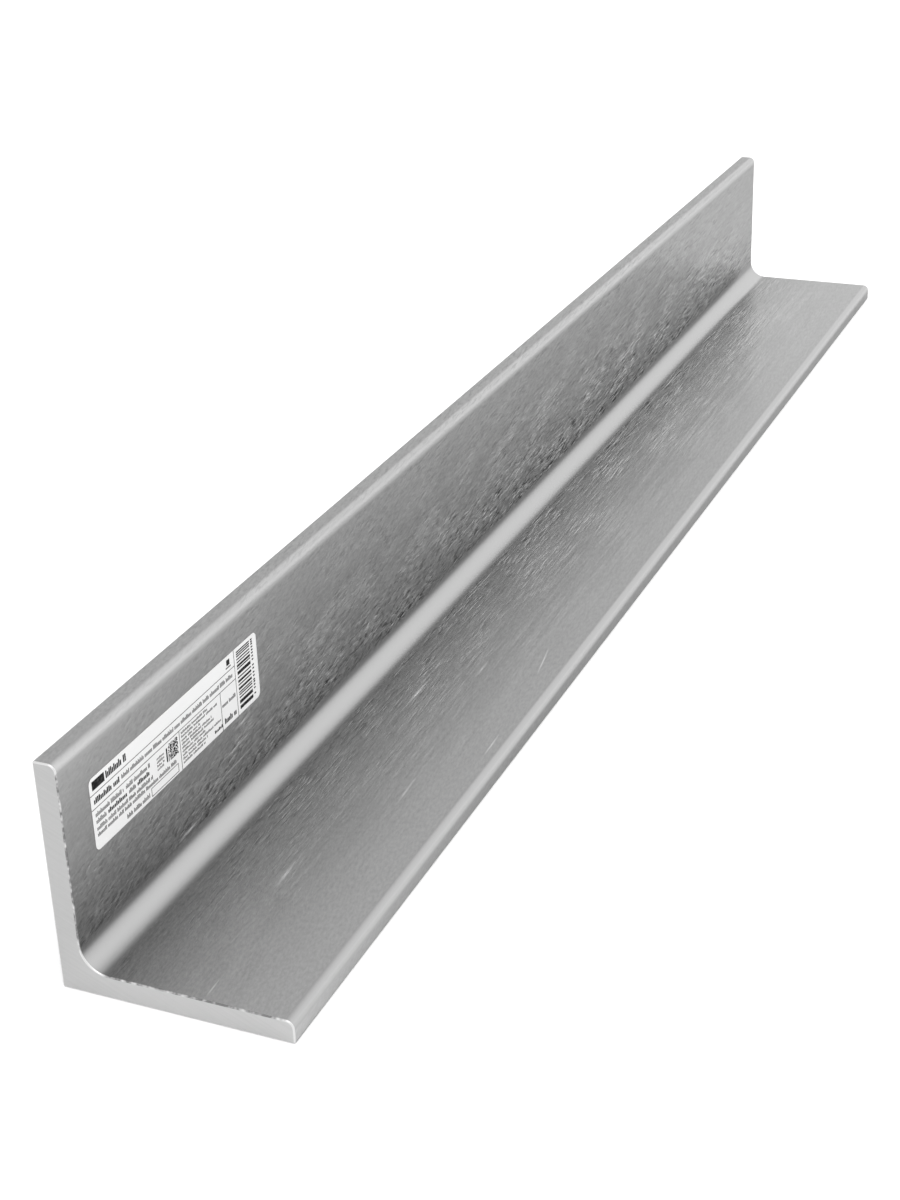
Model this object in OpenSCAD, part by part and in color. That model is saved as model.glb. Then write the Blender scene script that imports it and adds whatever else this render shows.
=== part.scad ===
// Equal-leg mounting angle: one length of hot-rolled, hot-dip galvanised steel
// with a printed adhesive label on the inner face of its upright leg.
//
// The bar lies along X on its flat leg. The upright leg stands along the back, at +Y,
// and its heel is the edge where the two outer faces meet. The origin is at the middle
// of the bar's footprint on the floor. The labelled end is the one at -X.

/* [Angle bar] */
// Length of the bar, from one sawn end to the other
bar_length = 470; // [120:10:1200]
// Outside width of each leg, measured from the heel
leg_width = 50; // [35:5:75]
// Thickness of each leg
leg_thickness = 5; // [3:0.5:8]
// Radius of the root fillet, inside the corner between the legs
root_radius = 5.5; // [3:0.5:9]
// Radius of the rounded inner edge of each toe
toe_radius = 1.8; // [1:0.1:2.5]
// Width of the edge break that runs round both sawn ends
edge_break = 0.3; // [0.1:0.1:0.6]

/* [Label] */
// Length of the label, along the bar
label_length = 66; // [30:1:100]
// Height of the label, up the leg
label_height = 15.5; // [8:0.5:20]
// Thickness of the label's film and its adhesive
label_thickness = 0.15; // [0.1:0.05:0.3]
// Radius of the label's corners
label_corner = 1.3; // [0.5:0.1:3]
// Gap from the sawn end to the label
label_end_gap = 9.3; // [2:0.1:20]
// Gap from the top of the upright leg to the label
label_top_gap = 8.5; // [3:0.1:10]

/* [Hidden] */
$fn = 96;
// How far a cutting shape reaches past the metal it cuts
overcut = 1;
// Where the root fillet and the toe roundings have their centres, from the heel
root_centre = leg_thickness + root_radius;
toe_centre_out = leg_width - toe_radius;
toe_centre_in = leg_thickness - toe_radius;
// The upright leg's inner face and the heel, in the bar's own frame
heel_y = leg_width / 2;
inner_face_y = heel_y - leg_thickness;

// Section and cut ends are drawn from the heel: x runs out along one leg, y along the
// other and z along the bar. The section is the same when x and y change places.

// Does one thing for a leg along x and again for the leg along y
module both_legs() {
    children();
    mirror([1, -1, 0]) children();
}

// The corner that the toe rounding takes off the leg along x
module toe_waste_outline() {
    difference() {
        translate([toe_centre_out, toe_centre_in]) square(toe_radius + overcut);
        translate([toe_centre_out, toe_centre_in]) circle(r = toe_radius);
    }
}

// The two legs and a straight web across the corner between them, which the root
// fillet is then cut from
module bar_outline() {
    difference() {
        polygon([
            [0, 0],
            [leg_width, 0],
            [leg_width, leg_thickness],
            [root_centre, leg_thickness],
            [leg_thickness, root_centre],
            [leg_thickness, leg_width],
            [0, leg_width]
        ]);
        translate([root_centre, root_centre]) circle(r = root_radius);
        both_legs() toe_waste_outline();
    }
}

// A 45 degree wedge that breaks a straight edge: it runs along x from the origin,
// with the metal on its +y side and the sawn face at z = 0
module straight_wedge(run) {
    rotate([90, 0, 90]) linear_extrude(height = run)
        polygon([
            [-overcut, -overcut],
            [edge_break + overcut, -overcut],
            [-overcut, edge_break + overcut]
        ]);
}

// Breaks the outward-curving edge of the rounding on the leg along x
module toe_wedge() {
    translate([toe_centre_out, toe_centre_in, -overcut]) difference() {
        cube([toe_radius + overcut, toe_radius + overcut, edge_break + overcut]);
        cylinder(h = edge_break + overcut, r1 = toe_radius - edge_break - overcut, r2 = toe_radius);
    }
}

// Breaks the inward-curving edge of the root fillet
module root_wedge() {
    reach = root_radius + edge_break + overcut;
    translate([root_centre, root_centre, -overcut]) intersection() {
        cylinder(h = edge_break + overcut, r1 = reach, r2 = root_radius);
        translate([-reach, -reach, 0]) cube([reach, reach, edge_break + overcut]);
    }
}

// All the waste of the edge break round the sawn face at z = 0
module end_waste() {
    both_legs() {
        // Outer face, from the heel to the toe
        translate([-overcut, 0, 0]) straight_wedge(leg_width + 2 * overcut);
        // Inner face, from the root fillet to the toe rounding
        translate([toe_centre_out, leg_thickness, 0]) rotate([0, 0, 180])
            straight_wedge(toe_centre_out - root_centre);
        // Flat of the toe
        translate([leg_width, -overcut, 0]) rotate([0, 0, 90])
            straight_wedge(toe_centre_in + overcut);
        toe_wedge();
    }
    root_wedge();
}

module angle_bar() {
    color("#9ea1a3")
    translate([0, heel_y, 0]) mirror([0, 1, 0]) rotate([90, 0, 90])
        difference() {
            linear_extrude(height = bar_length, center = true) bar_outline();
            for (end = [0, 1])
                mirror([0, 0, end]) translate([0, 0, -bar_length / 2]) end_waste();
        }
}

// A rectangle with rounded corners, with one corner of its frame at the origin
module label_outline() {
    straight_x = label_length - 2 * label_corner;
    straight_y = label_height - 2 * label_corner;
    translate([label_corner, 0]) square([straight_x, label_height]);
    translate([0, label_corner]) square([label_length, straight_y]);
    for (x = [0, straight_x], y = [0, straight_y])
        translate([label_corner + x, label_corner + y]) circle(r = label_corner);
}

module label() {
    color("#f2f2f0")
    translate([
        label_end_gap - bar_length / 2,
        inner_face_y,
        leg_width - label_top_gap - label_height
    ])
        rotate([90, 0, 0]) linear_extrude(height = label_thickness) label_outline();
}

angle_bar();
label();
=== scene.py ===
# Dresses the mounting angle: a length of hot-dip galvanised steel angle with a printed
# label near one end, lying on a plain pale floor in soft studio light.
import math
import random

import bmesh
import bpy
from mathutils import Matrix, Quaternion, Vector


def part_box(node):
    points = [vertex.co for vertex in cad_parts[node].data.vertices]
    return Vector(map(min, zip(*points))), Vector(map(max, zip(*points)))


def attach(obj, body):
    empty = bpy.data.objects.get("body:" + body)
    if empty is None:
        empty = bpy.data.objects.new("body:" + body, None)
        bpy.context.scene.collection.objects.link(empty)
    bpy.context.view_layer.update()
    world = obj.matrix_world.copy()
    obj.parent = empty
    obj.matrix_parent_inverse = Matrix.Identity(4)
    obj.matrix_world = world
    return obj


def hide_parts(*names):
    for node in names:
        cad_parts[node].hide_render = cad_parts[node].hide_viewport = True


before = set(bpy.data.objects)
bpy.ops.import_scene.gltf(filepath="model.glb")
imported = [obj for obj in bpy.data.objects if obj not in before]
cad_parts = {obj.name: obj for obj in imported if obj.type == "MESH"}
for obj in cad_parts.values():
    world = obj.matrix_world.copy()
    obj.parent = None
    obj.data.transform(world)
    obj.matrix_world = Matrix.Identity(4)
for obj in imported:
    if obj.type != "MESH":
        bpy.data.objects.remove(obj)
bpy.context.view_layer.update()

bl_info = {
    "name": "Galvanised Mounting Angle",
    "version": (1, 0, 0),
    "blender": (4, 5, 0),
    "location": "3D View > Sidebar > Mounting Angle",
    "description": "Models a galvanised steel angle bar with its label, in a plain studio",
    "category": "Object",
}

MM = 0.001
# The boxes of the bar's and the label's nodes, as they were packed
BAR_LOW, BAR_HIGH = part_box("angle_bar")
LABEL_LOW, LABEL_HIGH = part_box("label")
# How near a corner lies to a place to count as being there
NEAR = 0.01 * MM
# How much of a face's normal points up on a top, or along the bar on a sawn end or its broken edge
UPWARD = 0.9
SAWN_NORMAL = 0.99
EDGE_NORMAL = 0.1
# Steps in each rounding
ROOT_STEPS = 20
TOE_STEPS = 10
ARRIS_STEPS = 3
CORNER_STEPS = 8
# How wide the film's cut edge is rounded, and its steps
FILM_EDGE = 0.05 * MM
FILM_EDGE_STEPS = 2
# Faces that turn less than this many degrees from one to the next are joined
FLAT_TURN = 1

# How far each leg reaches across the unrolled section
LEG_SPAN = BAR_HIGH.z - BAR_LOW.z
# How deep in mm from an outer face the zinc still counts as outside
OUTSIDE_DEPTH = 0.45
# The outer faces' part of the section is squeezed to this share, off the bands of the toes
OUTSIDE_SQUEEZE = 0.84
# How strong the strokes are on the outer faces, as a share of the inner ones
OUTSIDE_STRENGTH = 0.4

# Rubbed marks on the inner faces, in mm: from the labelled end, across the unrolled
# section (below 0 on the upright leg), length, width, then tilt in degrees and brightness
SCRATCHES = (
    (67, -18.7, 9, 1.2, -3, 0.5),
    (65, -14.5, 20, 0.5, -4, 0.5),
    (62, -10.6, 26, 0.5, -3, 0.5),
    (42, -6.3, 11, 1.0, -5, 0.9),
    (79, -12.7, 6, 1.0, -3, 0.4),
    (280, -8.2, 12, 0.8, -3, 0.8),
    (294, -13.0, 7, 1.2, -12, 0.4),
    (172, -16.5, 7, 0.8, -35, 0.4),
    (43, 21.2, 11, 1.0, -4, 0.6),
    (123, 15.2, 17, 0.8, -1, 0.9),
    (81, 31.0, 13, 0.9, -3, 0.4),
    (106, 41.0, 11, 0.6, -2, 0.5),
    (4, 26.0, 6, 0.5, -2, 0.5),
    (148, 37.5, 16, 0.6, -9, 0.5),
    (139, 25.0, 10, 1.0, -1, 0.5),
    (67, 8.5, 10, 0.6, -2, 0.4),
    (333, 23.6, 9, 0.8, -1, 0.4),
)

# Strokes in the zinc: length and width in mm, tilt in degrees, the noise levels where they start
# and are full, how bright they are, and their strength across the unrolled section, which runs
# from the upright leg's toe at 0 by the root at 0.5 to the flat leg's toe at 1
STROKES = (
    (2.4, 0.8, -9, 0.5, 0.7, 1.7,
     ((0.07, 0.15), (0.2, 0.25), (0.3, 0.55), (0.36, 0.8), (0.42, 1), (0.445, 0.9), (0.455, 0))),
    (2.6, 0.8, -16, 0.5, 0.32, -1.9,
     ((0.07, 0.25), (0.2, 0.3), (0.3, 0.5), (0.36, 0.8), (0.42, 1), (0.445, 1), (0.455, 0))),
    (2.0, 0.9, -35, 0.5, 0.7, 1.1,
     ((0.07, 0.15), (0.2, 0.3), (0.3, 0.55), (0.38, 0.9), (0.44, 0.8), (0.455, 0))),
    (12, 2.8, -16, 0.36, 0.64, 0.65,
     ((0.07, 0.1), (0.14, 0.4), (0.25, 1), (0.4, 1), (0.455, 0))),
    (3.6, 0.7, -2, 0.5, 0.68, 0.95,
     ((0.545, 0), (0.56, 1), (0.64, 0.7), (0.76, 0.25), (0.86, 0.1), (0.93, 0))),
    (4.2, 0.7, -1, 0.5, 0.32, -1.4,
     ((0.545, 0), (0.56, 1), (0.64, 0.5), (0.76, 0.1), (0.86, 0.05), (0.93, 0))),
    (16, 1.8, -1.5, 0.36, 0.64, 0.5,
     ((0.545, 0), (0.56, 0.6), (0.64, 1), (0.8, 0.8), (0.93, 0))),
)
# The strokes grow longer along the bar, to twice their length at this many mm from the
# labelled end
DOUBLING = 250
# Patches of stronger strokes: length and width in mm, tilt in degrees, the noise levels between
# which they grow, and how strong the strokes still are outside them
PATCH_LENGTH = 24
PATCH_WIDTH = 9
PATCH_TILT = -8
PATCH_START = 0.36
PATCH_FULL = 0.64
PATCH_LEAST = 0.5
# Fine grain of the zinc, drawn as coarse as the render can show: length and width in mm, and tilt
GRAIN_LENGTH = 1.2
GRAIN_WIDTH = 0.6
GRAIN_TILT = -15
# Relief in mm of the grain, the scratches and the strokes
GRAIN_RELIEF = 0.012
SCRATCH_RELIEF = 0.04
STROKE_RELIEF = 0.045
# How much the grain, the painted root shade and toe light, and the painted sheen at the labelled end
# lighten the zinc, and what is taken off their sum
GRAIN_TONE = 0.8
ROOT_SHADE_TOE_LIGHT_TONE = 1.4
END_SHEEN_TONE = 2.0
TONE_OFFSET = 0.4
# Roughness of the rolled faces, and of the smooth zinc in the fillet and on the toes
ROLLED_ROUGHNESS = 0.32
SMOOTH_ROUGHNESS = 0.42
# Tint of the zinc's reflection at a glancing angle
ZINC_TINT = "#e9e9e9"

# Levels along the bar, from the labelled end at 0 to the far end at 1: how strong the strokes
# are, and how much the painted sheen lightens the zinc
WORKED_ALONG = (
    (0.03, 0.4), (0.14, 0.65), (0.22, 0.8), (0.36, 0.85),
    (0.48, 1.15), (0.7, 1.2), (0.86, 1.05), (0.98, 0.5),
)
END_SHEEN_ALONG = ((0, 0.9), (0.03, 0.65), (0.09, 0.35), (0.2, 0.08), (0.26, 0))
# Levels across the unrolled section: the same painted sheen, the grain, which is left out of the
# bands on both toes and in the fillet, those bands, where the zinc is lighter as a painted highlight,
# and the painted shade by the root, with painted light towards the toes
END_SHEEN_ACROSS = (
    (0.03, 0), (0.07, 0.55), (0.25, 0.5), (0.35, 0.2), (0.45, 0), (0.96, 0), (0.97, 1),
)
GRAIN_ACROSS = (
    (0.0315, 1), (0.033, 0), (0.073, 0), (0.076, 1),
    (0.455, 1), (0.462, 0), (0.542, 0), (0.55, 1),
    (0.93, 1), (0.933, 0), (0.9665, 0), (0.969, 1),
)
SMOOTH_HIGHLIGHT_ACROSS = (
    (0.0315, 0), (0.034, 0.4), (0.05, 0.2), (0.0566, 0.4), (0.061, 0.75), (0.0646, 1),
    (0.0725, 1), (0.075, 0),
    (0.457, 0), (0.470, 0.45), (0.535, 0.45), (0.549, 0),
    (0.929, 0), (0.932, 0.45), (0.94, 0.25), (0.95, 0.3), (0.9566, 0.65), (0.961, 1),
    (0.967, 1), (0.97, 0.3), (0.973, 0),
)
ROOT_SHADE_TOE_LIGHT_ACROSS = (
    (0.0315, 0.6), (0.034, 0.5), (0.056, 0.5), (0.073, 0.73), (0.076, 0.44), (0.1, 0.44),
    (0.3, 0.35), (0.4, 0.1), (0.445, 0), (0.4554, 0.2), (0.462, 0.28),
    (0.53, 0.4), (0.542, 0.8), (0.55, 0.47), (0.65, 0.65), (0.71, 0.76), (0.78, 0.73),
    (0.925, 0.73), (0.936, 0.47), (0.9665, 0.47), (0.969, 0.22),
)

# Where the section's edges are rounded, at the toes and the root
ROUNDED_ACROSS = (
    (0.066, 1), (0.072, 0), (0.44, 0), (0.455, 1), (0.545, 1), (0.56, 0), (0.928, 0), (0.934, 1),
)

# Saw lines on the ends: tilt in degrees, then length, spacing and depth in mm
SAW_TILT = 24
SAW_LENGTH = 30
SAW_SPACING = 0.45
SAW_DEPTH = 0.02
# The noise levels of the lines' bottoms and tops, and the roughness of the one and of the other
SAW_LOW, SAW_HIGH = 0.3, 0.7
SAW_LOW_ROUGHNESS, SAW_HIGH_ROUGHNESS = 0.52, 0.6
# How far in mm the sawn end's two tones run into each other on either side of the heel; the flat leg's
# lighter tone is painted light
HEEL_REACH = 14
# The breaks in the edges' painted highlight: their size in mm, and the noise levels up to which
# the highlight is left out and from which it is full
RIM_BREAK_SIZE = 1.1
RIM_BREAK_LEVEL, RIM_FULL_LEVEL = 0.36, 0.76
# The waves of the film and their height, in mm
WAVE_SIZE = 7
WAVE_HEIGHT = 0.05
# The thin places in the ink: their size in mm, the noise levels where they start and are
# thinnest, and how much of the film shows through there
INK_PATCH_SIZE = 0.5
INK_THINS, INK_THINNEST = 0.45, 0.8
FILM_SHOWS = 0.06
# The paper's fibres: their size in mm and their two colours
FIBRE_SIZE = 3
PAPER_DIPS, PAPER_TOPS = "#f0f0f0", "#f4f4f4"

# The label's print, in mm from its top left corner. Rules: left, top, right, bottom
RULE = 0.14
RULES = (
    (0, 3.5, 56.2, 3.5),
    (0, 6.55, 56.2, 6.55),
    (32.4, 6.55, 32.4, 15.5),
    (49.4, 6.55, 49.4, 15.5),
    (56.2, 0, 56.2, 15.5),
    (20.5, 13.2, 31, 13.2),
    (20.5, 15.0, 31, 15.0),
    (20.5, 13.2, 20.5, 15.0),
    (31, 13.2, 31, 15.0),
)
# Solid blocks: left, top, width, height
BLOCKS = (
    (0.9, 0.75, 4.3, 1.9),
    (53.0, 0.8, 1.3, 1.3),
    (52.6, 2.45, 2.1, 0.25),
    (27.0, 7.7, 0.45, 3.1),
)
# Rows of upright strokes that stand for small print. A stroke's width, and the step to the next
HEAVY_STROKE, HEAVY_STEP = 0.42, 0.57
FINE_STROKE, FINE_STEP = 0.2, 0.36
# Where a stroke may start, as a share of its row's height, and the least and most in a word
STROKE_STARTS = (0, 0, 0.3, 0.3, 0.3)
WORD_LEAST, WORD_MOST = 5, 14
# Each row: left, right, top, height, heavy or not
ROWS = (
    (5.7, 12.8, 0.9, 1.6, True),
    (1.0, 9.9, 4.4, 1.25, True),
    (10.8, 54.8, 4.5, 1.0, False),
    (1.0, 11.0, 7.4, 1.0, False),
    (11.9, 20.8, 7.4, 1.0, False),
    (1.0, 4.3, 8.9, 1.0, False),
    (5.2, 12.0, 8.9, 1.0, True),
    (12.8, 15.2, 8.9, 1.0, False),
    (15.9, 20.4, 8.9, 1.0, True),
    (1.0, 21.5, 10.5, 0.9, False),
    (1.0, 30.2, 11.8, 0.9, False),
    (11.2, 19.8, 13.7, 1.0, False),
    (23.4, 26.2, 7.9, 0.5, False),
    (23.4, 26.2, 8.7, 0.5, False),
    (23.4, 26.0, 9.5, 0.5, False),
    (23.4, 25.6, 10.3, 0.5, False),
    (33.1, 43.8, 7.1, 0.55, False),
    (33.1, 47.6, 7.95, 0.55, False),
    (33.1, 40.6, 8.8, 0.55, False),
    (33.1, 45.0, 9.65, 0.55, False),
    (33.1, 46.0, 10.5, 0.55, False),
    (33.1, 42.3, 11.35, 0.55, False),
    (33.1, 48.8, 12.2, 0.55, False),
    (33.1, 43.0, 13.05, 0.55, False),
    (33.1, 42.0, 13.9, 0.55, False),
    (46.0, 48.9, 13.8, 0.7, True),
    (49.9, 55.6, 9.5, 0.9, False),
    (50.4, 55.3, 13.2, 1.3, True),
)
# The stack of bars: top, bottom, left, width, and the heights and gaps that are drawn from
STACK_TOP, STACK_BOTTOM = 0.8, 14
STACK_LEFT, STACK_WIDTH = 57.2, 5.7
STACK_HEIGHTS = (0.3, 0.3, 0.55, 0.8)
STACK_GAPS = (0.22, 0.22, 0.4, 0.5)
# The small mark beside each bar: left, width, height
TICK_LEFT, TICK_WIDTH, TICK_HEIGHT = 63.5, 0.7, 0.35
# The square of loose dots: left, top, dots to a side, size of a dot and how many are printed
SQUARE_LEFT, SQUARE_TOP = 27.8, 7.2
SQUARE_DOTS = 19
DOT = 0.2
DOT_SHARE = 0.55
# Starts the dice that the small print, the stack and the square are drawn with
PRINT_SEED = 7

# Softboxes: place, width and height in metres
SIDE_SOFTBOX = ((1.9, -1.0, 0.9), 3.2, 2.8)
KEY_SOFTBOX = ((-1.0, -0.3, 1.6), 0.9, 0.9)
# The camera: its place and the place it looks at in mm, its roll in degrees, its sensor in mm
CAMERA_PLACE = (-496.35, -175.68, 234.38)
CAMERA_AIM = (-101.95, 0, 25.47)
CAMERA_ROLL = -2.12
SENSOR_WIDTH = 36


def linear(hex_colour):
    """The linear colour that Blender's sockets hold, from an sRGB hex value."""
    shares = [int(hex_colour[i:i + 2], 16) / 255 for i in (1, 3, 5)]
    lit = [s / 12.92 if s <= 0.04045 else ((s + 0.055) / 1.055) ** 2.4 for s in shares]
    return (*lit, 1.0)


# Properties

class BarSettings(bpy.types.PropertyGroup):
    """Sizes and colours of the steel angle."""

    wall: bpy.props.FloatProperty(
        name="Leg thickness", description="Thickness of each leg",
        default=5 * MM, unit="LENGTH")
    root_radius: bpy.props.FloatProperty(
        name="Root radius", description="Radius of the fillet inside the corner between the legs",
        default=5.5 * MM, unit="LENGTH")
    toe_radius: bpy.props.FloatProperty(
        name="Toe radius", description="Radius of the rounded inner edge of each toe",
        default=1.8 * MM, unit="LENGTH")
    arris: bpy.props.FloatProperty(
        name="Arris", description="Width of the small rounding on the long outer edges",
        default=0.4 * MM, unit="LENGTH")
    end_break: bpy.props.FloatProperty(
        name="End edge break", description="Width of the broken edge round both sawn ends",
        default=0.3 * MM, unit="LENGTH")
    # The dark end of the zinc's tones; by the root it stands for painted shade
    dark_zinc_and_root_shade: bpy.props.FloatVectorProperty(
        name="Dark zinc and root shade", description="Colour of the galvanised faces by the root",
        default=linear("#757575"), size=4, subtype="COLOR", min=0, max=1)
    # The light end of the zinc's tones; towards the toes it stands for painted light
    light_zinc_and_toe_light: bpy.props.FloatVectorProperty(
        name="Light zinc and toe light", description="Colour of the galvanised faces towards the toes",
        default=linear("#959595"), size=4, subtype="COLOR", min=0, max=1)
    # Painted highlight: the root fillet and the rounded toes take this lighter colour
    band_highlight_zinc: bpy.props.FloatVectorProperty(
        name="Band highlight zinc", description="Colour of the root fillet and the rounded toes",
        default=linear("#a7a7a7"), size=4, subtype="COLOR", min=0, max=1)
    bare_zinc: bpy.props.FloatVectorProperty(
        name="Bare zinc", description="Colour of the bright bottom of a scratch",
        default=linear("#dcdcdc"), size=4, subtype="COLOR", min=0, max=1)
    sawn: bpy.props.FloatVectorProperty(
        name="Sawn end", description="Colour of the sawn ends, on the upright leg",
        default=linear("#b2b2b2"), size=4, subtype="COLOR", min=0, max=1)
    # Painted light: the flat leg's sawn end is made lighter than the upright's
    sawn_flat_painted_light: bpy.props.FloatVectorProperty(
        name="Sawn end, flat leg", description="Colour of the sawn ends, on the flat leg",
        default=linear("#bcbcbc"), size=4, subtype="COLOR", min=0, max=1)
    # Painted highlight on the broken edges round the sawn ends
    edge_highlight: bpy.props.FloatVectorProperty(
        name="Edge highlight", description="Colour of the polished edges round the sawn ends",
        default=linear("#cacaca"), size=4, subtype="COLOR", min=0, max=1)


class LabelSettings(bpy.types.PropertyGroup):
    """Sizes and colours of the label and its print."""

    corner: bpy.props.FloatProperty(
        name="Corner radius", description="Radius of the label's corners",
        default=1.3 * MM, unit="LENGTH")
    ink_height: bpy.props.FloatProperty(
        name="Ink height", description="How far the print stands on the film",
        default=0.02 * MM, unit="LENGTH")
    film: bpy.props.FloatVectorProperty(
        name="Film", description="Colour of the label's film",
        default=linear("#d8d8d8"), size=4, subtype="COLOR", min=0, max=1)
    ink: bpy.props.FloatVectorProperty(
        name="Ink", description="Colour of the print",
        default=linear("#0b0b0c"), size=4, subtype="COLOR", min=0, max=1)


class StageSettings(bpy.types.PropertyGroup):
    """Floor, light and camera."""

    floor_size: bpy.props.FloatProperty(
        name="Floor size", description="Length of the floor's sides",
        default=12.0, unit="LENGTH")
    room_light: bpy.props.FloatProperty(
        name="Room light", description="Brightness of the pale room all round", default=1.25, min=0)
    side_light: bpy.props.FloatProperty(
        name="Side light", description="Brightness of the softbox beside the bar", default=1.0, min=0)
    key_light: bpy.props.FloatProperty(
        name="Key light", description="Brightness of the small softbox above the labelled end",
        default=4.0, min=0)
    focal_length: bpy.props.FloatProperty(
        name="Focal length", description="Focal length of the camera, on a 36 mm sensor",
        default=60.995, unit="CAMERA")


# Modelling helpers

def only(piece):
    """Selects one object and makes it the active one."""
    bpy.ops.object.select_all(action="DESELECT")
    piece.select_set(True)
    bpy.context.view_layer.objects.active = piece


def settle(piece):
    """Puts the object's place, turn and size into its mesh, so it sits at the origin."""
    only(piece)
    bpy.ops.object.transform_apply(location=True, rotation=True, scale=True)


def start_box(name, low, high):
    """Adds a box between two corners and leaves it in edit mode."""
    bpy.ops.object.select_all(action="DESELECT")
    bpy.ops.mesh.primitive_cube_add(size=1, location=(low + high) / 2, scale=high - low)
    piece = bpy.context.active_object
    piece.name = piece.data.name = name
    settle(piece)
    bpy.ops.object.mode_set(mode="EDIT")
    return piece


def pick(piece, kind, test):
    """In edit mode, selects only the edges or faces that pass the test."""
    bpy.context.tool_settings.mesh_select_mode = (False, kind == "edges", kind == "faces")
    mesh = bmesh.from_edit_mesh(piece.data)
    for part in (*mesh.verts, *mesh.edges, *mesh.faces):
        part.select_set(False)
    for part in getattr(mesh, kind):
        if test(part):
            part.select_set(True)
    mesh.select_flush_mode()
    bmesh.update_edit_mesh(piece.data)


def runs_along(y, z):
    """A test for edges that run along the bar at one place of its section."""
    return lambda edge: all(
        abs(end.co.y - y) < NEAR and abs(end.co.z - z) < NEAR for end in edge.verts)


def finish_mesh(piece):
    """Smooth shading that leaves the flat faces flat right up to their rounded edges."""
    bpy.ops.object.mode_set(mode="OBJECT")
    only(piece)
    bpy.ops.object.shade_smooth()
    even = piece.modifiers.new("Even shading", "WEIGHTED_NORMAL")
    even.weight = 100
    bpy.ops.object.modifier_apply(modifier=even.name)


# Materials

def add_node(tree, kind, inputs=(), stops=(), **settings):
    """Adds a node with its settings. Its inputs, in order or by name, are values, sockets or nodes."""
    made = tree.nodes.new(kind)
    for name, value in settings.items():
        setattr(made, name, value)
    for key, value in (inputs if isinstance(inputs, dict) else dict(enumerate(inputs))).items():
        if isinstance(value, bpy.types.Node):
            value = next(socket for socket in value.outputs if socket.enabled)
        if isinstance(value, bpy.types.NodeSocket):
            tree.links.new(value, made.inputs[key])
        else:
            made.inputs[key].default_value = value
    for place, level in stops:
        made.color_ramp.elements.new(place).color = (level, level, level, 1)
    if stops:
        # The two stops that a new ramp comes with are taken out again
        made.color_ramp.elements.remove(made.color_ramp.elements[0])
        made.color_ramp.elements.remove(made.color_ramp.elements[-1])
    return made


def start_material(name, **sockets):
    """A new material, and its shader with the given values in its sockets."""
    material = bpy.data.materials.new(name)
    material.use_nodes = True
    shader = material.node_tree.nodes["Principled BSDF"]
    for key, value in sockets.items():
        shader.inputs[key.replace("_", " ")].default_value = value
    return material, material.node_tree, shader


def unroll_bar(tree):
    """Places on the bar with its section unrolled flat, as nodes: the unrolled plane, the same plane
    on which strokes grow longer, the places along the bar and across it, and the inner faces."""
    place = add_node(tree, "ShaderNodeTexCoord").outputs["Object"]
    axes = add_node(tree, "ShaderNodeSeparateXYZ", (place,)).outputs

    # Across starts from the root, and is below 0 on the upright leg
    height_and_depth = add_node(tree, "ShaderNodeMath", (axes["Y"], axes["Z"]), operation="ADD")
    across = add_node(
        tree, "ShaderNodeMath", (BAR_HIGH.y, height_and_depth), operation="SUBTRACT")
    unrolled = add_node(tree, "ShaderNodeCombineXYZ", (axes["X"], across))

    # A logarithm of the distance from the labelled end makes even strokes longer and longer
    from_end = add_node(
        tree, "ShaderNodeMath", (axes["X"], 1 / (DOUBLING * MM), 1 - BAR_LOW.x / (DOUBLING * MM)),
        operation="MULTIPLY_ADD")
    drawn = add_node(tree, "ShaderNodeMath", (from_end, math.e), operation="LOGARITHM")
    drawn_along = add_node(tree, "ShaderNodeMath", (drawn, DOUBLING * MM), operation="MULTIPLY")
    drawn_out = add_node(tree, "ShaderNodeCombineXYZ", (drawn_along, across))
    along = add_node(
        tree, "ShaderNodeMapRange",
        {"Value": axes["X"], "From Min": BAR_LOW.x, "From Max": BAR_HIGH.x})

    # 1 on the inner side of the legs and 0 on their outer faces
    depth = add_node(tree, "ShaderNodeMath", (BAR_HIGH.y, axes["Y"]), operation="SUBTRACT")
    inward = add_node(tree, "ShaderNodeMath", (depth, axes["Z"]), operation="MINIMUM")
    inner = add_node(
        tree, "ShaderNodeMath", (inward, OUTSIDE_DEPTH * MM), operation="GREATER_THAN")

    # The section: 0 at the upright leg's toe, 0.5 at the root, 1 at the flat leg's toe
    section_scale = add_node(
        tree, "ShaderNodeMapRange", {
            "Value": inner,
            "To Min": OUTSIDE_SQUEEZE / (2 * LEG_SPAN),
            "To Max": 1 / (2 * LEG_SPAN),
        })
    section = add_node(
        tree, "ShaderNodeMath", (across, section_scale, 0.5), operation="MULTIPLY_ADD")
    return unrolled, drawn_out, along, section, inner


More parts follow.
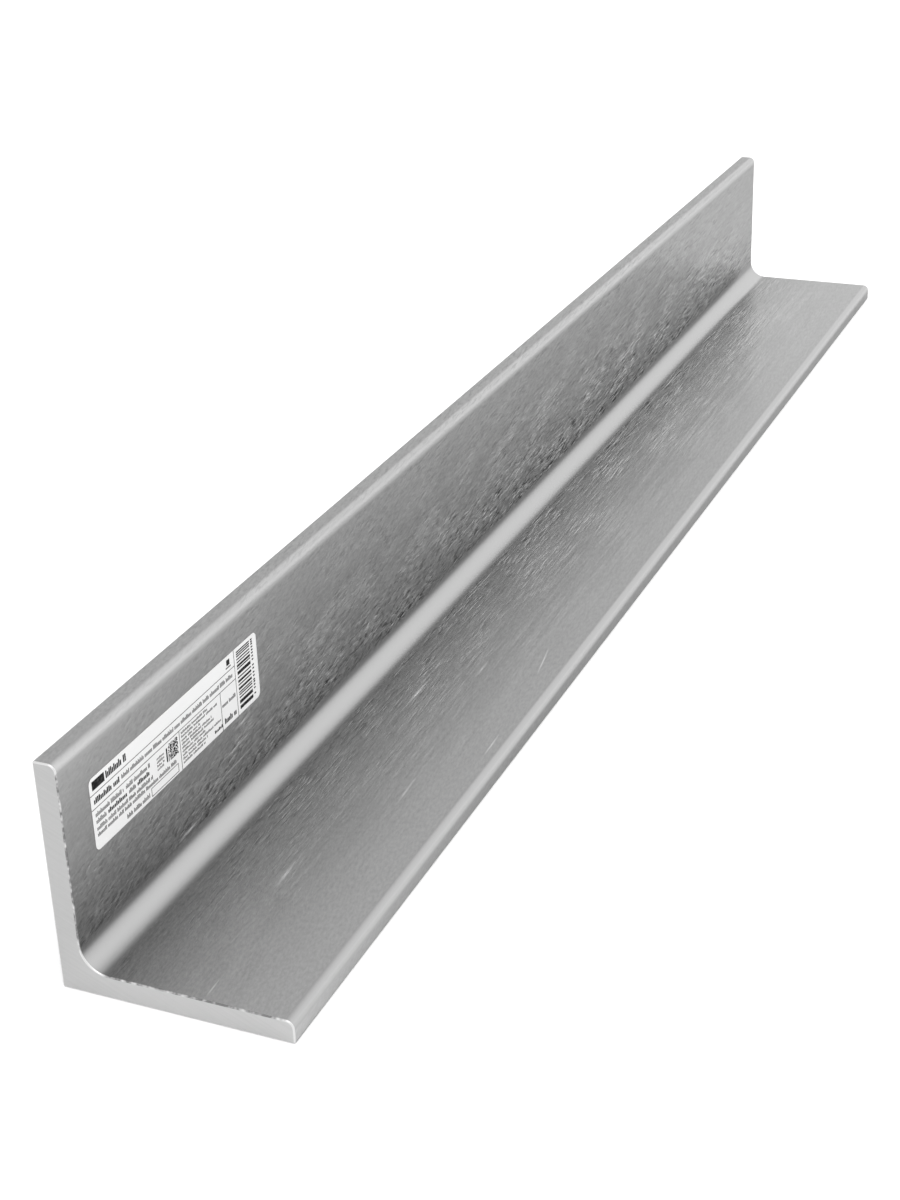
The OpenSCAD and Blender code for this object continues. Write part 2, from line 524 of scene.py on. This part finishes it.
def zinc_strokes(tree, unrolled, drawn_out, along, section, inner):
    """Bright and dull strokes of the drawn zinc, stronger in patches and weaker outside."""
    patch_space = add_node(
        tree, "ShaderNodeMapping", {
            "Vector": unrolled,
            "Rotation": (0, 0, math.radians(PATCH_TILT)),
            "Scale": (PATCH_LENGTH * MM, PATCH_WIDTH * MM, 1),
        }, vector_type="TEXTURE")
    patch_noise = add_node(
        tree, "ShaderNodeTexNoise", {"Vector": patch_space, "Scale": 1.0, "Detail": 2.0},
        noise_dimensions="2D")
    patches = add_node(
        tree, "ShaderNodeMapRange", {
            "Value": patch_noise,
            "From Min": PATCH_START,
            "From Max": PATCH_FULL,
            "To Min": PATCH_LEAST,
        }, interpolation_type="SMOOTHSTEP")
    worked = add_node(tree, "ShaderNodeValToRGB", (along,), WORKED_ALONG)
    spread = add_node(tree, "ShaderNodeMath", (patches, worked), operation="MULTIPLY")
    side = add_node(tree, "ShaderNodeMapRange", {"Value": inner, "To Min": OUTSIDE_STRENGTH})
    strength = add_node(tree, "ShaderNodeMath", (spread, side), operation="MULTIPLY")
    marks = 0.0
    for length, width, tilt, low, high, brightness, stops in STROKES:
        space = add_node(
            tree, "ShaderNodeMapping", {
                "Vector": drawn_out,
                "Rotation": (0, 0, math.radians(tilt)),
                "Scale": (length * MM, width * MM, 1),
            }, vector_type="TEXTURE")
        noise = add_node(
            tree, "ShaderNodeTexNoise",
            {"Vector": space, "Scale": 1.0, "Detail": 2.0, "Roughness": 0.6}, noise_dimensions="2D")
        strokes = add_node(
            tree, "ShaderNodeMapRange",
            {"Value": noise, "From Min": low, "From Max": high, "To Max": brightness})
        reach = add_node(tree, "ShaderNodeValToRGB", (section,), stops)
        marks = add_node(tree, "ShaderNodeMath", (strokes, reach, marks), operation="MULTIPLY_ADD")
    return add_node(tree, "ShaderNodeMath", (marks, strength), operation="MULTIPLY")


def zinc_grain(tree, drawn_out, section):
    """Fine grain of the zinc, left out of the bands in the root fillet and on the toes."""
    grain_space = add_node(
        tree, "ShaderNodeMapping", {
            "Vector": drawn_out,
            "Rotation": (0, 0, math.radians(GRAIN_TILT)),
            "Scale": (GRAIN_LENGTH * MM, GRAIN_WIDTH * MM, 1),
        }, vector_type="TEXTURE")
    grain_noise = add_node(
        tree, "ShaderNodeTexNoise", {"Vector": grain_space, "Scale": 1.0, "Detail": 2.0},
        noise_dimensions="2D")
    grain_reach = add_node(tree, "ShaderNodeValToRGB", (section,), GRAIN_ACROSS)
    return add_node(tree, "ShaderNodeMath", (grain_noise, grain_reach), operation="MULTIPLY")


def zinc_scratches(tree, unrolled, inner):
    """Scratches on the inner faces: each one a narrow spindle of bare zinc."""
    scratched = 0.0
    for x, w, length, width, tilt, brightness in SCRATCHES:
        spindle = add_node(
            tree, "ShaderNodeMapping", {
                "Vector": unrolled,
                "Location": (BAR_LOW.x + x * MM, w * MM, 0),
                "Rotation": (0, 0, math.radians(tilt)),
                "Scale": (length * MM / 2, width * MM / 2, 1),
            }, vector_type="TEXTURE")
        glow = add_node(tree, "ShaderNodeTexGradient", (spindle,), gradient_type="SPHERICAL")
        scratch = add_node(tree, "ShaderNodeMath", (glow, brightness), operation="MULTIPLY")
        scratched = add_node(tree, "ShaderNodeMath", (scratched, scratch), operation="MAXIMUM")
    return add_node(tree, "ShaderNodeMath", (scratched, inner), operation="MULTIPLY")


def zinc_tone(tree, marks, grain, along, section):
    """How light the zinc is: painted shade by the root, painted light towards the toes and a painted
    sheen at the labelled end, with the grain and the strokes.
    """
    # Painted shade by the root and painted light towards the toes
    root_shade_toe_light = add_node(tree, "ShaderNodeValToRGB", (section,), ROOT_SHADE_TOE_LIGHT_ACROSS)
    mottled = add_node(
        tree, "ShaderNodeMath", (grain, GRAIN_TONE, marks), operation="MULTIPLY_ADD")
    marks_and_painted_light = add_node(
        tree, "ShaderNodeMath", (root_shade_toe_light, ROOT_SHADE_TOE_LIGHT_TONE, mottled), operation="MULTIPLY_ADD")
    # Painted sheen: the labelled end is made lighter on the upright leg and on the flat leg's toe
    end_sheen_along = add_node(tree, "ShaderNodeValToRGB", (along,), END_SHEEN_ALONG)
    end_sheen_across = add_node(tree, "ShaderNodeValToRGB", (section,), END_SHEEN_ACROSS)
    end_sheen = add_node(
        tree, "ShaderNodeMath", (end_sheen_along, end_sheen_across), operation="MULTIPLY")
    tone = add_node(
        tree, "ShaderNodeMath", (end_sheen, END_SHEEN_TONE, marks_and_painted_light), operation="MULTIPLY_ADD")
    return add_node(tree, "ShaderNodeMath", (tone, TONE_OFFSET), operation="SUBTRACT")


def hot_dip_zinc(settings):
    """Hot-dip galvanised steel: satin grey, with strokes and streaks along the rolled faces, scratches
    from rubbing, painted shade by the root, and an even zinc without grain in the root fillet and on
    the rounded toes, lighter there as a painted highlight."""
    material, tree, shader = start_material(
        "Hot-dip galvanised steel", Metallic=1.0, Specular_Tint=linear(ZINC_TINT))
    unrolled, drawn_out, along, section, inner = unroll_bar(tree)
    marks = zinc_strokes(tree, unrolled, drawn_out, along, section, inner)
    grain = zinc_grain(tree, drawn_out, section)
    scratched = zinc_scratches(tree, unrolled, inner)

    # The zinc of the root fillet and the toes, only on the inner side of the legs: its roughness, and
    # a lighter colour as a painted highlight
    bands = add_node(tree, "ShaderNodeValToRGB", (section,), SMOOTH_HIGHLIGHT_ACROSS)
    smooth_and_highlight = add_node(tree, "ShaderNodeMath", (bands, inner), operation="MULTIPLY")

    # The marks are both relief, in mm, and a lighter or duller zinc
    fine_relief = add_node(tree, "ShaderNodeMath", (grain, GRAIN_RELIEF), operation="MULTIPLY")
    scratch_relief = add_node(
        tree, "ShaderNodeMath", (scratched, SCRATCH_RELIEF, fine_relief), operation="MULTIPLY_ADD")
    relief = add_node(
        tree, "ShaderNodeMath", (marks, STROKE_RELIEF, scratch_relief), operation="MULTIPLY_ADD")
    bump = add_node(
        tree, "ShaderNodeBump", {"Strength": 1.0, "Distance": MM, "Height": relief})
    tree.links.new(bump.outputs["Normal"], shader.inputs["Normal"])

    level = zinc_tone(tree, marks, grain, along, section)
    rolled = add_node(
        tree, "ShaderNodeMix", {"Factor": level, "A": settings.dark_zinc_and_root_shade, "B": settings.light_zinc_and_toe_light},
        data_type="RGBA", clamp_factor=False)
    # Painted highlight: the fillet and the toes take the lighter band colour
    banded = add_node(
        tree, "ShaderNodeMix", {"Factor": smooth_and_highlight, "A": rolled, "B": settings.band_highlight_zinc},
        data_type="RGBA")
    bright = add_node(
        tree, "ShaderNodeMix", {"Factor": scratched, "A": banded, "B": settings.bare_zinc},
        data_type="RGBA")
    tree.links.new(bright.outputs["Result"], shader.inputs["Base Color"])
    roughness = add_node(
        tree, "ShaderNodeMapRange",
        {"Value": smooth_and_highlight, "To Min": ROLLED_ROUGHNESS, "To Max": SMOOTH_ROUGHNESS})
    tree.links.new(roughness.outputs["Result"], shader.inputs["Roughness"])
    return material


def sawn_zinc(settings):
    """The sawn end: an even satin grey with faint saw lines, made lighter on the flat leg as painted
    light.
    """
    material, tree, shader = start_material(
        "Sawn galvanised end", Metallic=1.0, Specular_Tint=linear(ZINC_TINT))
    place = add_node(tree, "ShaderNodeTexCoord").outputs["Object"]
    axes = add_node(tree, "ShaderNodeSeparateXYZ", {"Vector": place}).outputs
    end_plane = add_node(tree, "ShaderNodeCombineXYZ", (axes["Y"], axes["Z"]))
    saw_space = add_node(
        tree, "ShaderNodeMapping", {
            "Vector": end_plane,
            "Rotation": (0, 0, math.radians(SAW_TILT)),
            "Scale": (SAW_LENGTH * MM, SAW_SPACING * MM, 1),
        }, vector_type="TEXTURE")
    lines = add_node(
        tree, "ShaderNodeTexNoise", {"Vector": saw_space, "Scale": 1.0, "Detail": 2.0},
        noise_dimensions="2D")
    bump = add_node(
        tree, "ShaderNodeBump", {"Strength": 1.0, "Distance": SAW_DEPTH * MM, "Height": lines})
    tree.links.new(bump.outputs["Normal"], shader.inputs["Normal"])
    # Painted light: the flat leg's end is made a little lighter than the upright's
    height_and_depth = add_node(tree, "ShaderNodeMath", (axes["Y"], axes["Z"]), operation="ADD")
    lighter = add_node(
        tree, "ShaderNodeMapRange", {
            "Value": height_and_depth,
            "From Min": BAR_HIGH.y + HEEL_REACH * MM,
            "From Max": BAR_HIGH.y - HEEL_REACH * MM,
        }, interpolation_type="SMOOTHSTEP")
    colour = add_node(
        tree, "ShaderNodeMix", {"Factor": lighter, "A": settings.sawn, "B": settings.sawn_flat_painted_light},
        data_type="RGBA")
    tree.links.new(colour.outputs["Result"], shader.inputs["Base Color"])
    roughness = add_node(
        tree, "ShaderNodeMapRange", {
            "Value": lines,
            "From Min": SAW_LOW,
            "From Max": SAW_HIGH,
            "To Min": SAW_LOW_ROUGHNESS,
            "To Max": SAW_HIGH_ROUGHNESS,
        })
    tree.links.new(roughness.outputs["Result"], shader.inputs["Roughness"])
    return material


def edge_highlight(settings):
    """The edge break of the sawn ends: a painted highlight, a bright line that is left out in
    places on the straight inner edges."""
    material, tree, shader = start_material("Polished zinc edge", Metallic=1.0, Roughness=0.35)
    place = add_node(tree, "ShaderNodeTexCoord").outputs["Object"]
    rim_breaks = add_node(
        tree, "ShaderNodeTexNoise", {"Vector": place, "Scale": 1 / (RIM_BREAK_SIZE * MM), "Detail": 1.0})
    rim_lit = add_node(
        tree, "ShaderNodeMapRange",
        {"Value": rim_breaks, "From Min": RIM_BREAK_LEVEL, "From Max": RIM_FULL_LEVEL})

    # The painted highlight is never broken on the section's roundings or on its outer side
    axes = add_node(tree, "ShaderNodeSeparateXYZ", (place,)).outputs
    height_and_depth = add_node(tree, "ShaderNodeMath", (axes["Y"], axes["Z"]), operation="ADD")
    section = add_node(
        tree, "ShaderNodeMapRange", {
            "Value": height_and_depth,
            "From Min": BAR_HIGH.y + LEG_SPAN,
            "From Max": BAR_HIGH.y - LEG_SPAN,
        })
    rounded = add_node(tree, "ShaderNodeValToRGB", (section,), ROUNDED_ACROSS)
    depth = add_node(tree, "ShaderNodeMath", (BAR_HIGH.y, axes["Y"]), operation="SUBTRACT")
    inward = add_node(tree, "ShaderNodeMath", (depth, axes["Z"]), operation="MINIMUM")
    outside = add_node(tree, "ShaderNodeMath", (inward, settings.wall / 2), operation="LESS_THAN")
    unbroken = add_node(tree, "ShaderNodeMath", (rounded, outside), operation="MAXIMUM")
    highlit = add_node(tree, "ShaderNodeMath", (rim_lit, unbroken), operation="MAXIMUM")
    colour = add_node(
        tree, "ShaderNodeMix", {"Factor": highlit, "A": settings.dark_zinc_and_root_shade, "B": settings.edge_highlight},
        data_type="RGBA")
    tree.links.new(colour.outputs["Result"], shader.inputs["Base Color"])
    return material


def label_film(settings):
    """White label film: a half-matt plastic that waves a little over its adhesive."""
    material, tree, shader = start_material("White label film", Roughness=0.45)
    place = add_node(tree, "ShaderNodeTexCoord").outputs["Object"]
    waves = add_node(
        tree, "ShaderNodeTexNoise", {"Vector": place, "Scale": 1 / (WAVE_SIZE * MM), "Detail": 1.0})
    bump = add_node(
        tree, "ShaderNodeBump",
        {"Strength": 1.0, "Distance": WAVE_HEIGHT * MM, "Height": waves})
    tree.links.new(bump.outputs["Normal"], shader.inputs["Normal"])
    shader.inputs["Base Color"].default_value = settings.film
    return material


def label_ink(settings):
    """Black print ribbon: dull, and thinner in places, where it is less black."""
    material, tree, shader = start_material("Black label ink", Roughness=0.6, Specular_IOR_Level=0.1)
    place = add_node(tree, "ShaderNodeTexCoord").outputs["Object"]
    wear = add_node(
        tree, "ShaderNodeTexNoise",
        {"Vector": place, "Scale": 1 / (INK_PATCH_SIZE * MM), "Detail": 1.0})
    thin = add_node(
        tree, "ShaderNodeMapRange",
        {"Value": wear, "From Min": INK_THINS, "From Max": INK_THINNEST, "To Max": FILM_SHOWS})
    colour = add_node(
        tree, "ShaderNodeMix", {"Factor": thin, "A": settings.ink, "B": settings.film},
        data_type="RGBA")
    tree.links.new(colour.outputs["Result"], shader.inputs["Base Color"])
    return material


def studio_paper():
    """White background paper: matt, with a faint unevenness of its fibres."""
    material, tree, shader = start_material("White background paper", Roughness=0.9)
    place = add_node(tree, "ShaderNodeTexCoord").outputs["Object"]
    fibres = add_node(
        tree, "ShaderNodeTexNoise", {"Vector": place, "Scale": 1 / (FIBRE_SIZE * MM), "Detail": 2.0})
    colour = add_node(
        tree, "ShaderNodeMix",
        {"Factor": fibres, "A": linear(PAPER_DIPS), "B": linear(PAPER_TOPS)}, data_type="RGBA")
    tree.links.new(colour.outputs["Result"], shader.inputs["Base Color"])
    return material


# Operators

class MOUNTING_ANGLE_OT_bar(bpy.types.Operator):
    """Model the steel angle, with its root fillet, rounded toes and sawn ends"""

    bl_idname = "mounting_angle.bar"
    bl_label = "Angle Bar"
    bl_options = {"REGISTER", "UNDO"}

    def execute(self, context):
        size = context.scene.angle_bar
        inner_y = BAR_HIGH.y - size.wall
        inner_z = BAR_LOW.z + size.wall
        bar = start_box("galvanised_angle", BAR_LOW, Vector((BAR_HIGH.x, BAR_HIGH.y, inner_z)))
        # The strip of the flat leg's top that the upright stands on is cut off and pulled up
        pick(bar, "faces", lambda face: face.normal.z > UPWARD)
        bpy.ops.mesh.bisect(plane_co=(0, inner_y, inner_z), plane_no=(0, 1, 0))
        pick(
            bar, "faces",
            lambda face: face.normal.z > UPWARD and face.calc_center_median().y > inner_y)
        bpy.ops.mesh.extrude_region_move(
            TRANSFORM_OT_translate={"value": (0, 0, BAR_HIGH.z - inner_z)})
        bpy.ops.mesh.select_all(action="SELECT")
        bpy.ops.mesh.dissolve_limited(angle_limit=math.radians(FLAT_TURN))
        toes = ((BAR_LOW.y, inner_z), (inner_y, BAR_HIGH.z))
        outer_edges = (
            (BAR_LOW.y, BAR_LOW.z), (BAR_HIGH.y, BAR_LOW.z), (BAR_HIGH.y, BAR_HIGH.z))
        for radius, steps, places in (
            (size.root_radius, ROOT_STEPS, ((inner_y, inner_z),)),
            (size.toe_radius, TOE_STEPS, toes),
            (size.arris, ARRIS_STEPS, outer_edges),
        ):
            for y, z in places:
                pick(bar, "edges", runs_along(y, z))
                bpy.ops.mesh.bevel(offset=radius, segments=steps, affect="EDGES")
        for end_x in (BAR_LOW.x, BAR_HIGH.x):
            pick(bar, "edges", lambda edge: all(abs(v.co.x - end_x) < NEAR for v in edge.verts))
            bpy.ops.mesh.bevel(offset=size.end_break, segments=ARRIS_STEPS, affect="EDGES")
        finish_mesh(bar)
        for finish in (hot_dip_zinc, sawn_zinc, edge_highlight):
            bar.data.materials.append(finish(size))
        # The sawn faces take the second finish, and the broken edges round them the third, with its
        # painted highlight
        for face in bar.data.polygons:
            if abs(face.normal.x) > SAWN_NORMAL:
                face.material_index = 1
            elif abs(face.normal.x) > EDGE_NORMAL:
                face.material_index = 2
        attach(bar, "root")
        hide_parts("angle_bar")
        return {"FINISHED"}


class MOUNTING_ANGLE_OT_label(bpy.types.Operator):
    """Model the label's film and its print"""

    bl_idname = "mounting_angle.label"
    bl_label = "Label"
    bl_options = {"REGISTER", "UNDO"}

    @staticmethod
    def print_blocks():
        """Every printed mark, as its left, top, width and height in mm from the film's corner."""
        yield from BLOCKS
        for left, top, right, bottom in RULES:
            if top == bottom:
                yield (left, top - RULE / 2, right - left, RULE)
            else:
                yield (left - RULE / 2, top, RULE, bottom - top)
        dice = random.Random(PRINT_SEED)
        for left, right, top, height, heavy in ROWS:
            stroke, step = (HEAVY_STROKE, HEAVY_STEP) if heavy else (FINE_STROKE, FINE_STEP)
            place = left
            word = dice.randint(WORD_LEAST, WORD_MOST)
            while place < right:
                low = dice.choice(STROKE_STARTS) * height
                yield (place, top + low, stroke, height - low)
                place += step
                word -= 1
                if word == 0:
                    place += step
                    word = dice.randint(WORD_LEAST, WORD_MOST)
        place = STACK_TOP
        while place < STACK_BOTTOM:
            bar = dice.choice(STACK_HEIGHTS)
            yield (STACK_LEFT, place, STACK_WIDTH, bar)
            yield (TICK_LEFT, place, TICK_WIDTH, TICK_HEIGHT)
            place += bar + dice.choice(STACK_GAPS)
        for row in range(SQUARE_DOTS):
            for column in range(SQUARE_DOTS):
                if dice.random() < DOT_SHARE:
                    yield (SQUARE_LEFT + column * DOT, SQUARE_TOP + row * DOT, DOT, DOT)

    def execute(self, context):
        size = context.scene.angle_label
        film_low = LABEL_LOW + Vector((0, size.ink_height, 0))
        film = start_box("label_film", film_low, LABEL_HIGH)
        pick(film, "edges", lambda edge: abs(edge.verts[0].co.y - edge.verts[1].co.y) > NEAR)
        bpy.ops.mesh.bevel(offset=size.corner, segments=CORNER_STEPS, affect="EDGES")
        pick(film, "edges", lambda edge: all(abs(v.co.y - film_low.y) < NEAR for v in edge.verts))
        bpy.ops.mesh.bevel(offset=FILM_EDGE, segments=FILM_EDGE_STEPS, affect="EDGES")
        finish_mesh(film)
        film.data.materials.append(label_film(size))

        # One block of ink is modelled, sunk half into the film, and copied for every mark
        block_low = Vector((0, LABEL_LOW.y, -MM))
        block_high = Vector((MM, LABEL_LOW.y + 2 * size.ink_height, 0))
        block = start_box("ink", block_low, block_high)
        bpy.ops.object.mode_set(mode="OBJECT")
        block.data.materials.append(label_ink(size))
        for left, top, width, height in self.print_blocks():
            mark = block.copy()
            mark.data = block.data.copy()
            mark.location = (LABEL_LOW.x + left * MM, 0, LABEL_HIGH.z - top * MM)
            mark.scale = (width, 1, height)
            context.collection.objects.link(mark)
            mark.select_set(True)
        block.select_set(False)
        film.select_set(True)
        context.view_layer.objects.active = film
        bpy.ops.object.join()
        bpy.data.objects.remove(block)
        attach(film, "root")
        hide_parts("label")
        return {"FINISHED"}


class MOUNTING_ANGLE_OT_stage(bpy.types.Operator):
    """Lay the floor, hang the lights and set the camera"""

    bl_idname = "mounting_angle.stage"
    bl_label = "Stage"
    bl_options = {"REGISTER", "UNDO"}

    @staticmethod
    def hang_softbox(scene, name, place, width, height, brightness):
        """Hangs one large even light that faces the bar, as bright as a white wall of that level."""
        light = bpy.data.lights.new(name, "AREA")
        light.shape = "RECTANGLE"
        light.size = width
        light.size_y = height
        light.energy = brightness * math.pi * width * height
        box = bpy.data.objects.new(name, light)
        box.location = place
        box.rotation_euler = (-Vector(place)).to_track_quat("-Z", "Y").to_euler()
        scene.collection.objects.link(box)

    def execute(self, context):
        scene = context.scene
        settings = scene.angle_stage
        bpy.ops.object.select_all(action="DESELECT")
        bpy.ops.mesh.primitive_plane_add(size=settings.floor_size)
        floor = context.active_object
        floor.name = "floor"
        floor.data.materials.append(studio_paper())

        world = bpy.data.worlds.new("Soft studio")
        world.use_nodes = True
        background = world.node_tree.nodes["Background"]
        background.inputs["Color"].default_value = (1, 1, 1, 1)
        background.inputs["Strength"].default_value = settings.room_light
        scene.world = world
        scene.view_settings.view_transform = "Standard"
        self.hang_softbox(scene, "side softbox", *SIDE_SOFTBOX, settings.side_light)
        self.hang_softbox(scene, "key softbox", *KEY_SOFTBOX, settings.key_light)

        place = Vector(CAMERA_PLACE) * MM
        aim = Vector(CAMERA_AIM) * MM
        lens = bpy.data.cameras.new("camera")
        lens.lens = settings.focal_length
        lens.sensor_width = SENSOR_WIDTH
        camera = bpy.data.objects.new("camera", lens)
        camera.location = place
        camera.rotation_mode = "QUATERNION"
        level_view = (aim - place).to_track_quat("-Z", "Y")
        camera.rotation_quaternion = level_view @ Quaternion((0, 0, 1), math.radians(CAMERA_ROLL))
        scene.collection.objects.link(camera)
        scene.camera = camera
        return {"FINISHED"}


class MOUNTING_ANGLE_PT_panel(bpy.types.Panel):
    """Lists the pieces of the mounting angle and its stage"""

    bl_idname = "MOUNTING_ANGLE_PT_panel"
    bl_label = "Mounting Angle"
    bl_space_type = "VIEW_3D"
    bl_region_type = "UI"
    bl_category = "Mounting Angle"

    def draw(self, context):
        for operator in (MOUNTING_ANGLE_OT_bar, MOUNTING_ANGLE_OT_label, MOUNTING_ANGLE_OT_stage):
            self.layout.operator(operator.bl_idname)


CLASSES = (
    BarSettings,
    LabelSettings,
    StageSettings,
    MOUNTING_ANGLE_OT_bar,
    MOUNTING_ANGLE_OT_label,
    MOUNTING_ANGLE_OT_stage,
    MOUNTING_ANGLE_PT_panel,
)


def register():
    """Adds the classes to Blender, and their settings to the scene."""
    for cls in CLASSES:
        bpy.utils.register_class(cls)
    bpy.types.Scene.angle_bar = bpy.props.PointerProperty(type=BarSettings)
    bpy.types.Scene.angle_label = bpy.props.PointerProperty(type=LabelSettings)
    bpy.types.Scene.angle_stage = bpy.props.PointerProperty(type=StageSettings)


def unregister():
    """Takes the settings and the classes out again."""
    for name in ("angle_stage", "angle_label", "angle_bar"):
        delattr(bpy.types.Scene, name)
    for cls in reversed(CLASSES):
        bpy.utils.unregister_class(cls)


def main():
    """Makes every piece and the stage."""
    register()
    bpy.ops.mounting_angle.bar()
    bpy.ops.mounting_angle.label()
    bpy.ops.mounting_angle.stage()
    bpy.context.view_layer.update()


if __name__ == "__main__":
    main()
